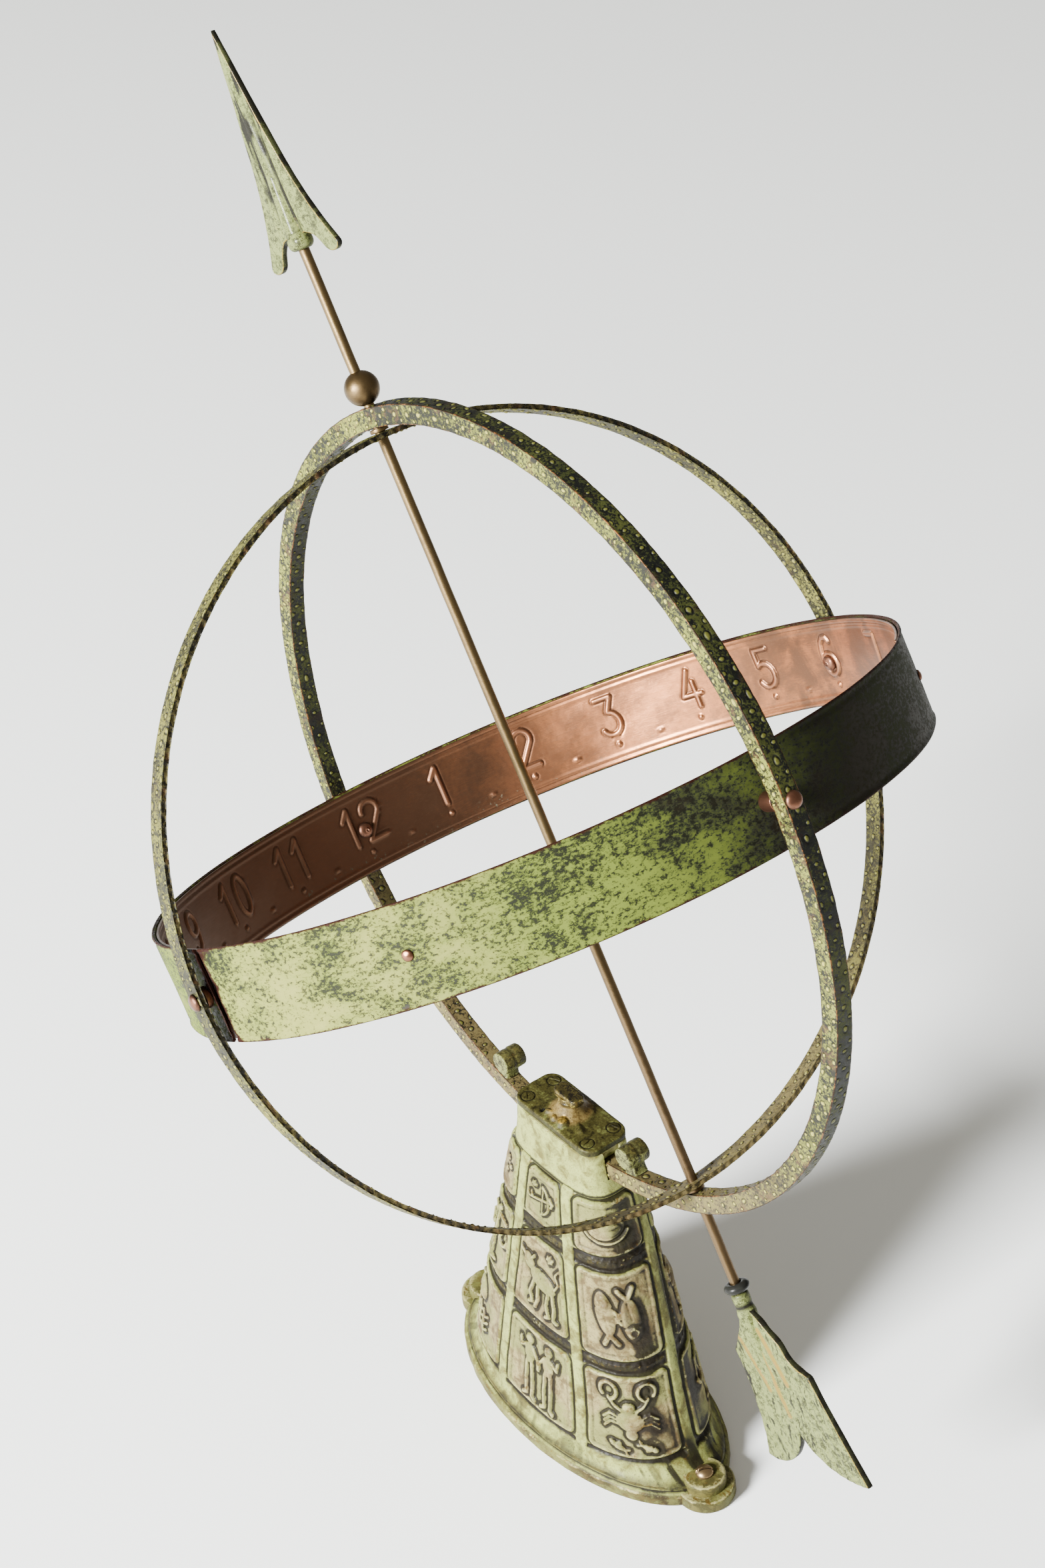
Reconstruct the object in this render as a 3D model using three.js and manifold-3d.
// Armillary sundial. A hollow cast foot clamps a sphere of rings between a curved channel and a
// cap plate, so the polar axis can be set to the latitude of the place. The sphere is drawn upright
// in its own group, with the polar axis along +Z and the meridian ring in the XZ plane, and the
// group is then tilted.
import * as THREE from 'three';
import { mergeVertices } from 'three/addons/utils/BufferGeometryUtils.js';
import Module from 'manifold-3d';

const wasm = await Module();
wasm.setup();

// Driving dimensions, in millimetres and degrees.
const LATITUDE = 59;
const TILT = THREE.MathUtils.degToRad(90 - LATITUDE);
const CENTRE_X = -3.5;
const CENTRE_Z = 377;
const GAP = 0.3;
const RING_SEGMENTS = 72;

const MERIDIAN = { outer: 200, inner: 190, halfWidth: 4.5, chamfer: 0.8 };
const COLURE = { outer: 187.5, inner: 184.5, halfWidth: 6, chamfer: 0 };
const BAND = { outer: 181, inner: 179.5, halfHeight: 22, slitFrom: -88.3, slitTo: -86.9 };
const STRIP = { outer: 179.1, inner: 178.1, halfHeight: 21, halfArc: 134 };
const RIVET = { shank: 2, head: 4, rise: 2.4, innerBase: 177.6 };
const STRIP_RIVET = { shank: 1.2, head: 2.6, rise: 1.3, angle: 129 };
const ROD = { radius: 2.5, top: 288, bottom: -258 };
const BALL_RADIUS = 8;
const WASHER_RADIUS = 4.3;
const STOP = { angle: 15.3, radius: 6, length: 13, centre: 180, foot: 8, spigot: 2 };

const FOOT_TOP = 6;
const HEAD_TOP = 195.5;
const PLATE = { halfLength: 30, halfWidth: 13.5, thickness: 4, corner: 7 };
const PLATE_TOP = HEAD_TOP + GAP + PLATE.thickness;
const CAP_SCREW = { x: 23, y: 8.2, head: 3.2, shank: 1.6, tip: 186 };
const KEY = { shank: 3, neck: 5, halfLength: 8.5, halfWidth: 4, tip: 191.9, neckBase: 207, top: 212.4 };
const BOSS_TOP = 206.6;
const EAR = { x: 89, radius: 15.5, flange: 7.5, seat: 13.5, seatRadius: 11, hole: 2.7 };

// Materials.
function metal(colour, roughness, metalness) {
  return new THREE.MeshStandardMaterial({ color: colour, roughness, metalness });
}
const CAST = metal(0xa9ad85, 0.75, 0.25);
const VERDIGRIS = metal(0x7f8a58, 0.7, 0.3);
const BAND_GREEN = metal(0x9bb068, 0.7, 0.2);
const COPPER = metal(0x9a5f49, 0.4, 0.9);
const BRASS = metal(0x7a6a48, 0.4, 0.9);
const DARK = metal(0x2d2c26, 0.5, 0.6);

// Solids from three.js geometry, so that they can be joined and cut.
function signedVolume(points, index) {
  const [a, b, c] = [new THREE.Vector3(), new THREE.Vector3(), new THREE.Vector3()];
  let volume = 0;
  for (let i = 0; i < index.length; i += 3) {
    a.fromArray(points, 3 * index[i]);
    b.fromArray(points, 3 * index[i + 1]);
    c.fromArray(points, 3 * index[i + 2]);
    volume += a.dot(b.cross(c)) / 6;
  }
  return volume;
}

function toSolid(geometry) {
  const bare = geometry.clone();
  bare.deleteAttribute('normal');
  bare.deleteAttribute('uv');
  const merged = mergeVertices(bare, 1e-4);
  const points = Float32Array.from(merged.attributes.position.array);
  const raw = merged.index.array;
  const faces = [];
  for (let i = 0; i < raw.length; i += 3) {
    const [p, q, r] = [raw[i], raw[i + 1], raw[i + 2]];
    if (p !== q && q !== r && r !== p) {
      faces.push(p, q, r);
    }
  }
  if (signedVolume(points, faces) < 0) {
    faces.reverse();
  }
  const mesh = new wasm.Mesh({ numProp: 3, vertProperties: points, triVerts: Uint32Array.from(faces) });
  return new wasm.Manifold(mesh);
}

function toGeometry(solid) {
  const mesh = solid.getMesh();
  const geometry = new THREE.BufferGeometry();
  const points = new THREE.Float32BufferAttribute(Array.from(mesh.vertProperties), 3);
  geometry.setAttribute('position', points);
  geometry.setIndex(Array.from(mesh.triVerts));
  geometry.computeVertexNormals();
  return geometry;
}

function join(...solids) {
  return solids.reduce((whole, piece) => whole.add(piece));
}

function cut(body, ...tools) {
  return tools.reduce((left, tool) => left.subtract(tool), body);
}

// A round bar between two points.
function bar(radius, from, to, segments = 16) {
  const start = new THREE.Vector3(...from);
  const end = new THREE.Vector3(...to);
  const way = end.clone().sub(start);
  const geometry = new THREE.CylinderGeometry(radius, radius, way.length(), segments);
  const turn = new THREE.Quaternion().setFromUnitVectors(new THREE.Vector3(0, 1, 0), way.normalize());
  geometry.applyQuaternion(turn);
  geometry.translate(...start.add(end).multiplyScalar(0.5).toArray());
  return toSolid(geometry);
}

// The tool for a round hole: its flats lie at the stated radius.
function bore(radius, from, to, segments = 16) {
  return bar(radius / Math.cos(Math.PI / segments), from, to, segments);
}

function block(x0, x1, y0, y1, z0, z1) {
  const geometry = new THREE.BoxGeometry(x1 - x0, y1 - y0, z1 - z0);
  geometry.translate((x0 + x1) / 2, (y0 + y1) / 2, (z0 + z1) / 2);
  return toSolid(geometry);
}

// A profile of [radius, distance along the axis] points, turned about X, Y or Z.
function turned(profile, axis = 'z', segments = 24) {
  const points = profile.map(([radius, along]) => new THREE.Vector2(radius, along));
  const geometry = new THREE.LatheGeometry(points, segments);
  if (axis === 'z') {
    geometry.rotateX(Math.PI / 2);
  } else if (axis === 'x') {
    geometry.rotateZ(-Math.PI / 2);
  }
  return toSolid(geometry);
}

// A hoop of chamfered bar about an axis.
function hoop({ inner, outer, halfWidth, chamfer }, axis) {
  const profile = [
    [inner + chamfer, -halfWidth],
    [outer - chamfer, -halfWidth],
    [outer, -halfWidth + chamfer],
    [outer, halfWidth - chamfer],
    [outer - chamfer, halfWidth],
    [inner + chamfer, halfWidth],
    [inner, halfWidth - chamfer],
    [inner, -halfWidth + chamfer],
    [inner + chamfer, -halfWidth],
  ];
  return turned(profile, axis, RING_SEGMENTS);
}

// A flat outline in X and Z, with its thickness along Y.
function plateInXZ(shape, thickness, curveSegments = 6) {
  const geometry = new THREE.ExtrudeGeometry(shape, {
    depth: thickness,
    bevelEnabled: false,
    curveSegments,
  });
  geometry.rotateX(Math.PI / 2);
  geometry.translate(0, thickness / 2, 0);
  return toSolid(geometry);
}

// An upright wall that follows part of a circle about Z, from one angle to another.
function arcWall(inner, outer, fromDegrees, toDegrees, halfHeight) {
  const from = THREE.MathUtils.degToRad(fromDegrees);
  const to = THREE.MathUtils.degToRad(toDegrees);
  const shape = new THREE.Shape();
  shape.absarc(0, 0, outer, from, to, false);
  shape.absarc(0, 0, inner, to, from, true);
  shape.closePath();
  const quarterSteps = Math.round((RING_SEGMENTS * (to - from)) / (4 * Math.PI));
  const geometry = new THREE.ExtrudeGeometry(shape, {
    depth: 2 * halfHeight,
    bevelEnabled: false,
    curveSegments: quarterSteps,
  });
  geometry.translate(0, 0, -halfHeight);
  return toSolid(geometry);
}

// A round head, domed away from its flat base, as profile points from the base's rim to the axis.
function dome(base, radius, rise, direction = 1) {
  return [
    [radius, base],
    [radius * 0.92, base + direction * rise * 0.4],
    [radius * 0.6, base + direction * rise * 0.82],
    [0, base + direction * rise],
  ];
}

const meshes = [];
function piece(name, solid, material) {
  const mesh = new THREE.Mesh(toGeometry(solid), material);
  mesh.name = name;
  meshes.push(mesh);
  return mesh;
}

// Foot: an oval casting, drawn as rows of [height, half length, half width, squareness].
function bent(value, power) {
  return Math.sign(value) * Math.abs(value) ** power;
}

function loft(rows, around = 48) {
  const points = [];
  for (const [height, halfLength, halfWidth, squareness] of rows) {
    for (let i = 0; i < around; i += 1) {
      const turn = (2 * Math.PI * i) / around;
      const x = halfLength * bent(Math.cos(turn), 2 / squareness);
      const y = halfWidth * bent(Math.sin(turn), 2 / squareness);
      points.push(x, y, height);
    }
  }
  const faces = [];
  for (let row = 0; row < rows.length - 1; row += 1) {
    for (let i = 0; i < around; i += 1) {
      const [p, q] = [row * around + i, row * around + ((i + 1) % around)];
      faces.push(p, q, q + around, p, q + around, p + around);
    }
  }
  const bottom = points.length / 3;
  points.push(0, 0, rows[0][0], 0, 0, rows[rows.length - 1][0]);
  const lastRow = (rows.length - 1) * around;
  for (let i = 0; i < around; i += 1) {
    const next = (i + 1) % around;
    faces.push(bottom, next, i, bottom + 1, lastRow + i, lastRow + next);
  }
  const geometry = new THREE.BufferGeometry();
  geometry.setAttribute('position', new THREE.Float32BufferAttribute(points, 3));
  geometry.setIndex(faces);
  return toSolid(geometry);
}

const FOOT_ROWS = [
  [0, 94, 47, 2],
  [FOOT_TOP, 94, 47, 2],
  [7.2, 92.6, 45.6, 2],
  [8.2, 90.8, 44.4, 2],
  [9.4, 91, 44.6, 2],
  [10.6, 89.6, 43.8, 2],
  [14, 83, 42, 2.05],
  [20, 77, 41, 2.3],
  [40, 71.9, 38.2, 2.4],
  [90, 58.7, 31.3, 2.5],
  [130, 48.1, 25.8, 2.6],
  [168, 38.1, 20.5, 2.8],
  [173, 34.8, 17.8, 3.2],
  [184, 32.6, 16, 3.6],
  [HEAD_TOP, 31.2, 14.7, 4],
];
const HOLLOW_ROWS = [
  [-1, 82, 36.5, 2],
  [9, 80, 36, 2],
  [20, 71, 35.5, 2.3],
  [90, 52.5, 26, 2.5],
  [130, 42, 20.5, 2.6],
  [164, 32, 15, 2.6],
];

function ear(side) {
  const x = side * EAR.x;
  return join(
    bar(EAR.radius, [x, 0, 0], [x, 0, EAR.flange], 32),
    bar(EAR.seatRadius, [x, 0, 0], [x, 0, EAR.seat], 28),
  );
}

// The channel that the meridian ring slides through, open to the head's top face.
function channel() {
  const clear = 0.4;
  const halfWidth = MERIDIAN.halfWidth + clear;
  const floor = (MERIDIAN.outer + clear) / Math.cos(Math.PI / RING_SEGMENTS);
  const profile = [
    [MERIDIAN.inner - 12, -halfWidth],
    [floor, -halfWidth],
    [floor, halfWidth],
    [MERIDIAN.inner - 12, halfWidth],
    [MERIDIAN.inner - 12, -halfWidth],
  ];
  return turned(profile, 'y', RING_SEGMENTS).translate([CENTRE_X, 0, CENTRE_Z]);
}

function capScrewPlaces() {
  const places = [];
  for (const x of [-CAP_SCREW.x, CAP_SCREW.x]) {
    for (const y of [-CAP_SCREW.y, CAP_SCREW.y]) {
      places.push([x, y]);
    }
  }
  return places;
}

function baseCasting() {
  const outside = join(loft(FOOT_ROWS), ear(-1), ear(1));
  const screwHoles = capScrewPlaces().map(([x, y]) =>
    bore(CAP_SCREW.shank + GAP, [x, y, CAP_SCREW.tip - 1], [x, y, HEAD_TOP + 1], 12),
  );
  const earHoles = [-1, 1].map((side) =>
    bore(EAR.hole, [side * EAR.x, 0, -1], [side * EAR.x, 0, EAR.seat + 1]),
  );
  const body = cut(outside, loft(HOLLOW_ROWS, 32), channel(), ...screwHoles, ...earHoles);
  return piece('base_casting', body, CAST);
}

// Cap plate: rounded plate with a bell-shaped boss that the clamp key screws through.
function roundedOutline(halfLength, halfWidth, corner) {
  const shape = new THREE.Shape();
  shape.absarc(halfLength - corner, halfWidth - corner, corner, 0, Math.PI / 2, false);
  shape.absarc(corner - halfLength, halfWidth - corner, corner, Math.PI / 2, Math.PI, false);
  shape.absarc(corner - halfLength, corner - halfWidth, corner, Math.PI, 1.5 * Math.PI, false);
  shape.absarc(halfLength - corner, corner - halfWidth, corner, 1.5 * Math.PI, 2 * Math.PI, false);
  shape.closePath();
  return shape;
}

function slab(shape, from, to, curveSegments = 4) {
  const geometry = new THREE.ExtrudeGeometry(shape, {
    depth: to - from,
    bevelEnabled: false,
    curveSegments,
  });
  geometry.translate(0, 0, from);
  return toSolid(geometry);
}

// A countersunk head and shank, larger than the screw by a stated amount.
function screwBody(extra, tip) {
  const faceHeight = PLATE_TOP + (extra > 0 ? 1 : 0);
  const head = CAP_SCREW.head + extra;
  const shank = CAP_SCREW.shank + extra;
  return turned(
    [
      [0, tip],
      [shank, tip],
      [shank, PLATE_TOP - 2.2],
      [head, PLATE_TOP - 0.6],
      [head, faceHeight],
      [0, faceHeight],
    ],
    'z',
    16,
  );
}

function capPlate() {
  const outline = roundedOutline(PLATE.halfLength, PLATE.halfWidth, PLATE.corner);
  const plate = slab(outline, HEAD_TOP + GAP, PLATE_TOP);
  const boss = turned(
    [
      [0, HEAD_TOP + 1],
      [12.4, HEAD_TOP + 1],
      [12.4, PLATE_TOP],
      [9.2, PLATE_TOP + 1.6],
      [7.2, PLATE_TOP + 4],
      [6.2, BOSS_TOP],
      [0, BOSS_TOP],
    ],
    'z',
    24,
  );
  const nodule = toSolid(new THREE.SphereGeometry(3.4, 12, 8)).translate([5, -8.4, PLATE_TOP + 0.4]);
  const holes = capScrewPlaces().map(([x, y]) =>
    screwBody(GAP, HEAD_TOP - 1).translate([x, y, 0]),
  );
  const keyHole = bore(KEY.shank + GAP, [0, 0, HEAD_TOP - 1], [0, 0, BOSS_TOP + 1]);
  return piece('cap_plate', cut(join(plate, boss, nodule), keyHole, ...holes), CAST);
}

function capScrew(number, [x, y]) {
  const slot = block(-4, 4, -0.5, 0.5, PLATE_TOP - 0.9, PLATE_TOP + 1);
  const turn = 40 * number;
  const screw = cut(screwBody(0, CAP_SCREW.tip), slot).rotate([0, 0, turn]).translate([x, y, 0]);
  return piece(`cap_screw_${number}`, screw, CAST);
}

// Clamp key: a flat finger bar on a screw whose tip presses the shoe down on the meridian ring.
function clampKey() {
  const outline = roundedOutline(KEY.halfLength, KEY.halfWidth, 3.2);
  const grip = slab(outline, KEY.top - 4.4, KEY.top);
  const stem = turned(
    [
      [0, KEY.tip],
      [KEY.shank, KEY.tip],
      [KEY.shank, KEY.neckBase],
      [KEY.neck, KEY.neckBase],
      [KEY.neck, KEY.top - 3],
      [0, KEY.top - 3],
    ],
    'z',
    20,
  );
  return piece('clamp_key', join(grip, stem), BRASS);
}

function clampShoe() {
  const radius = MERIDIAN.inner - 0.4;
  const half = 9;
  const swing = Math.asin(half / radius);
  const top = KEY.tip - GAP - CENTRE_Z;
  const shape = new THREE.Shape();
  shape.moveTo(half, top);
  shape.lineTo(-half, top);
  shape.absarc(0, 0, radius, 1.5 * Math.PI - swing, 1.5 * Math.PI + swing, false);
  shape.closePath();
  const shoe = toSolid(
    new THREE.ExtrudeGeometry(shape, { depth: 8.6, bevelEnabled: false, curveSegments: 4 }),
  );
  const placed = shoe.rotate([90, 0, 0]).translate([CENTRE_X, 4.3, CENTRE_Z]);
  return piece('clamp_shoe', placed, BRASS);
}

function footScrew(number, side) {
  const base = EAR.seat + GAP;
  const body = turned([[0, 1.5], [2.3, 1.5], [2.3, base], ...dome(base, 4.6, 3.2)], 'z', 20);
  const slot = block(-6, 6, -0.6, 0.6, base + 1.6, base + 5);
  const screw = cut(body, slot).rotate([0, 0, 35 * side]).translate([side * EAR.x, 0, 0]);
  return piece(`foot_screw_${number}`, screw, BRASS);
}

// Rings of the sphere.
function radial(x, y, near, far, radius) {
  return bore(radius, [x * near, y * near, 0], [x * far, y * far, 0], 12);
}

function stopTurn(side) {
  const lean = Math.asin(-CENTRE_X / STOP.centre);
  return TILT - lean - side * THREE.MathUtils.degToRad(STOP.angle);
}

function meridianRing() {
  const poleHoles = [-1, 1].map((end) => bore(ROD.radius + GAP, [0, 0, end * 180], [0, 0, end * 210]));
  const bandHoles = [-1, 1].map((side) => radial(side, 0, 180, 210, RIVET.shank + GAP));
  const stopHoles = [-1, 1].map((side) =>
    bore(STOP.spigot + GAP, [0, 0, -180], [0, 0, -210], 12)
      .rotate([0, THREE.MathUtils.radToDeg(stopTurn(side)), 0]),
  );
  const ring = cut(hoop(MERIDIAN, 'y'), ...poleHoles, ...bandHoles, ...stopHoles);
  return piece('meridian_ring', ring, VERDIGRIS);
}

function colureRing() {
  const poleHoles = [-1, 1].map((end) => bore(ROD.radius + GAP, [0, 0, end * 180], [0, 0, end * 195]));
  const bandHoles = [-1, 1].map((side) => radial(0, side, 182, 192, RIVET.shank + GAP));
  return piece('colure_ring', cut(hoop(COLURE, 'x'), ...poleHoles, ...bandHoles), VERDIGRIS);
}

// A stop: a short cross bar on a foot whose spigot is riveted through the meridian ring.
function ringStop(number, side) {
  const seat = MERIDIAN.inner - 0.45;
  const cross = bar(STOP.radius, [0, -STOP.length / 2, -STOP.centre], [0, STOP.length / 2, -STOP.centre], 24);
  const foot = block(-STOP.foot / 2, STOP.foot / 2, -4.2, 4.2, -seat, -STOP.centre);
  const spigot = bar(STOP.spigot, [0, 0, 0.6 - MERIDIAN.outer], [0, 0, -STOP.centre - 1], 12);
  const mesh = piece(`ring_stop_${number}`, join(cross, foot, spigot), VERDIGRIS);
  mesh.rotation.y = stopTurn(side);
  return mesh;
}

function stripRivetWays() {
  return [-1, 1].map((side) => {
    const angle = Math.PI + side * THREE.MathUtils.degToRad(STRIP_RIVET.angle);
    return [Math.cos(angle), Math.sin(angle)];
  });
}

function holesThroughBand(near, far) {
  const large = [[1, 0], [-1, 0], [0, 1], [0, -1]];
  return [
    ...large.map(([x, y]) => radial(x, y, near, far, RIVET.shank + GAP)),
    ...stripRivetWays().map(([x, y]) => radial(x, y, near, far, STRIP_RIVET.shank + GAP)),
  ];
}

function hourBand() {
  const wall = arcWall(BAND.inner, BAND.outer, BAND.slitTo, BAND.slitFrom + 360, BAND.halfHeight);
  return piece('hour_band', cut(wall, ...holesThroughBand(170, 190)), BAND_GREEN);
}

function hourStrip() {
  const wall = arcWall(STRIP.inner, STRIP.outer, 180 - STRIP.halfArc, 180 + STRIP.halfArc, STRIP.halfHeight);
  return piece('hour_strip', cut(wall, ...holesThroughBand(170, 190)), COPPER);
}

// Rivets lie along +X and are turned into place.
function turnedPiece(name, profile, degrees, material, segments = 16) {
  const solid = turned(profile, 'x', segments).rotate([0, 0, degrees]);
  return piece(name, solid, material);
}

function rivetProfile({ shank, head, rise }, innerBase, outerBase) {
  const inner = dome(innerBase, head, rise, -1).reverse();
  const outer = dome(outerBase, head, rise);
  return [...inner, [shank, innerBase], [shank, outerBase], ...outer];
}

function tubeProfile(inner, outer, from, to) {
  return [[inner, from], [outer, from], [outer, to], [inner, to], [inner, from]];
}

function bandFixings() {
  const clear = RIVET.shank + GAP;
  const bandFace = BAND.outer + GAP;
  const spacer = tubeProfile(clear, WASHER_RADIUS, bandFace, MERIDIAN.inner - 0.45);
  const washer = tubeProfile(clear, 5, bandFace, COLURE.inner - 0.45);
  const thick = rivetProfile(RIVET, RIVET.innerBase, MERIDIAN.outer + GAP);
  const thin = rivetProfile(RIVET, RIVET.innerBase, COLURE.outer + GAP);
  return [
    turnedPiece('noon_rivet', thick, 180, COPPER),
    turnedPiece('midnight_rivet', rivetProfile(RIVET, BAND.inner - 0.5, MERIDIAN.outer + GAP), 0, COPPER),
    turnedPiece('morning_rivet', thin, -90, COPPER),
    turnedPiece('evening_rivet', thin, 90, COPPER),
    turnedPiece('noon_spacer', spacer, 180, COPPER),
    turnedPiece('midnight_spacer', spacer, 0, COPPER),
    turnedPiece('morning_washer', washer, -90, COPPER),
    turnedPiece('evening_washer', washer, 90, COPPER),
  ];
}

function stripRivets() {
  return [-1, 1].map((side, index) => {
    const profile = rivetProfile(STRIP_RIVET, STRIP.inner - 0.4, BAND.outer + GAP);
    return turnedPiece(`strip_rivet_${index + 1}`, profile, 180 + side * STRIP_RIVET.angle, COPPER, 12);
  });
}

function poleWasher(name, end) {
  const washer = turned(
    tubeProfile(ROD.radius + GAP, WASHER_RADIUS, COLURE.outer + GAP, MERIDIAN.inner - 0.45),
  );
  return piece(name, end > 0 ? washer : washer.rotate([180, 0, 0]), BRASS);
}

// Arrow: a rod along the polar axis with a ball nut, a barbed head and a feathered tail.
function gnomonRod() {
  return piece('gnomon_rod', bar(ROD.radius, [0, 0, ROD.bottom], [0, 0, ROD.top]), BRASS);
}

function ballNut() {
  const ball = toSolid(new THREE.SphereGeometry(BALL_RADIUS, 20, 12));
  const placed = ball.translate([0, 0, MERIDIAN.outer + GAP + BALL_RADIUS]);
  return piece('ball_nut', cut(placed, bore(ROD.radius + GAP, [0, 0, 190], [0, 0, 230])), BRASS);
}

function arrowhead() {
  const shape = new THREE.Shape();
  shape.moveTo(0, 374);
  shape.bezierCurveTo(-12, 318, -14, 300, -33, 271);
  shape.bezierCurveTo(-33, 267, -24, 266, -21, 271);
  shape.bezierCurveTo(-18, 276, -14, 279, -9, 280);
  shape.lineTo(9, 280);
  shape.bezierCurveTo(14, 279, 18, 276, 21, 271);
  shape.bezierCurveTo(24, 266, 33, 267, 33, 271);
  shape.bezierCurveTo(14, 300, 12, 318, 0, 374);
  const blade = plateInXZ(shape, 3);
  const rib = turned([
    [0, 273.5],
    [4.6, 273.5],
    [6.2, 275.4],
    [6.4, 278.4],
    [5.2, 281],
    [5, 284],
    [2.6, 304],
    [1.6, 316],
    [0, 318],
  ]);
  const socket = bore(ROD.radius + GAP, [0, 0, 270], [0, 0, ROD.top + GAP]);
  return piece('arrowhead', cut(join(blade, rib), socket), VERDIGRIS);
}

function arrowTail() {
  const shape = new THREE.Shape();
  shape.moveTo(-4, -252);
  shape.bezierCurveTo(-8, -260, -14, -268, -23, -276);
  shape.bezierCurveTo(-20, -292, -24, -318, -32, -334);
  shape.bezierCurveTo(-24, -340, -4, -336, 4, -318);
  shape.bezierCurveTo(12, -332, 24, -339, 45, -340);
  shape.bezierCurveTo(41, -324, 35, -302, 32, -284);
  shape.bezierCurveTo(26, -281, 20, -279, 19, -272);
  shape.bezierCurveTo(18, -266, 13, -264, 11, -260);
  shape.bezierCurveTo(9, -256, 6, -255, 4, -252);
  const blade = plateInXZ(shape, 3.4);
  const neck = turned([
    [0, -300],
    [1.9, -298],
    [3.4, -272],
    [4.6, -260],
    [4.8, -254],
    [3.9, -250],
    [4.4, -246],
    [4.2, -243.5],
    [0, -243.5],
  ]);
  const socket = bore(ROD.radius + GAP, [0, 0, -240], [0, 0, ROD.bottom - GAP]);
  return piece('arrow_tail', cut(join(blade, neck), socket), VERDIGRIS);
}

function tailCollar() {
  const collar = turned([
    [ROD.radius + GAP, -243],
    [4.6, -243],
    [6, -241.8],
    [6.4, -240.6],
    [6, -239.4],
    [4.6, -238.2],
    [ROD.radius + GAP, -238.2],
    [ROD.radius + GAP, -243],
  ]);
  return piece('tail_collar', collar, DARK);
}

const armillary = new THREE.Group();
armillary.add(baseCasting(), capPlate(), clampKey(), clampShoe(), footScrew(1, -1), footScrew(2, 1));
capScrewPlaces().forEach((place, index) => armillary.add(capScrew(index + 1, place)));

const sphere = new THREE.Group();
sphere.position.set(CENTRE_X, 0, CENTRE_Z);
sphere.rotation.y = -TILT;
sphere.add(meridianRing(), colureRing(), hourBand(), hourStrip(), ringStop(1, -1), ringStop(2, 1));
sphere.add(...bandFixings(), ...stripRivets());
sphere.add(poleWasher('north_pole_washer', 1), poleWasher('south_pole_washer', -1));
sphere.add(gnomonRod(), ballNut(), arrowhead(), arrowTail(), tailCollar());
armillary.add(sphere);

export default armillary;
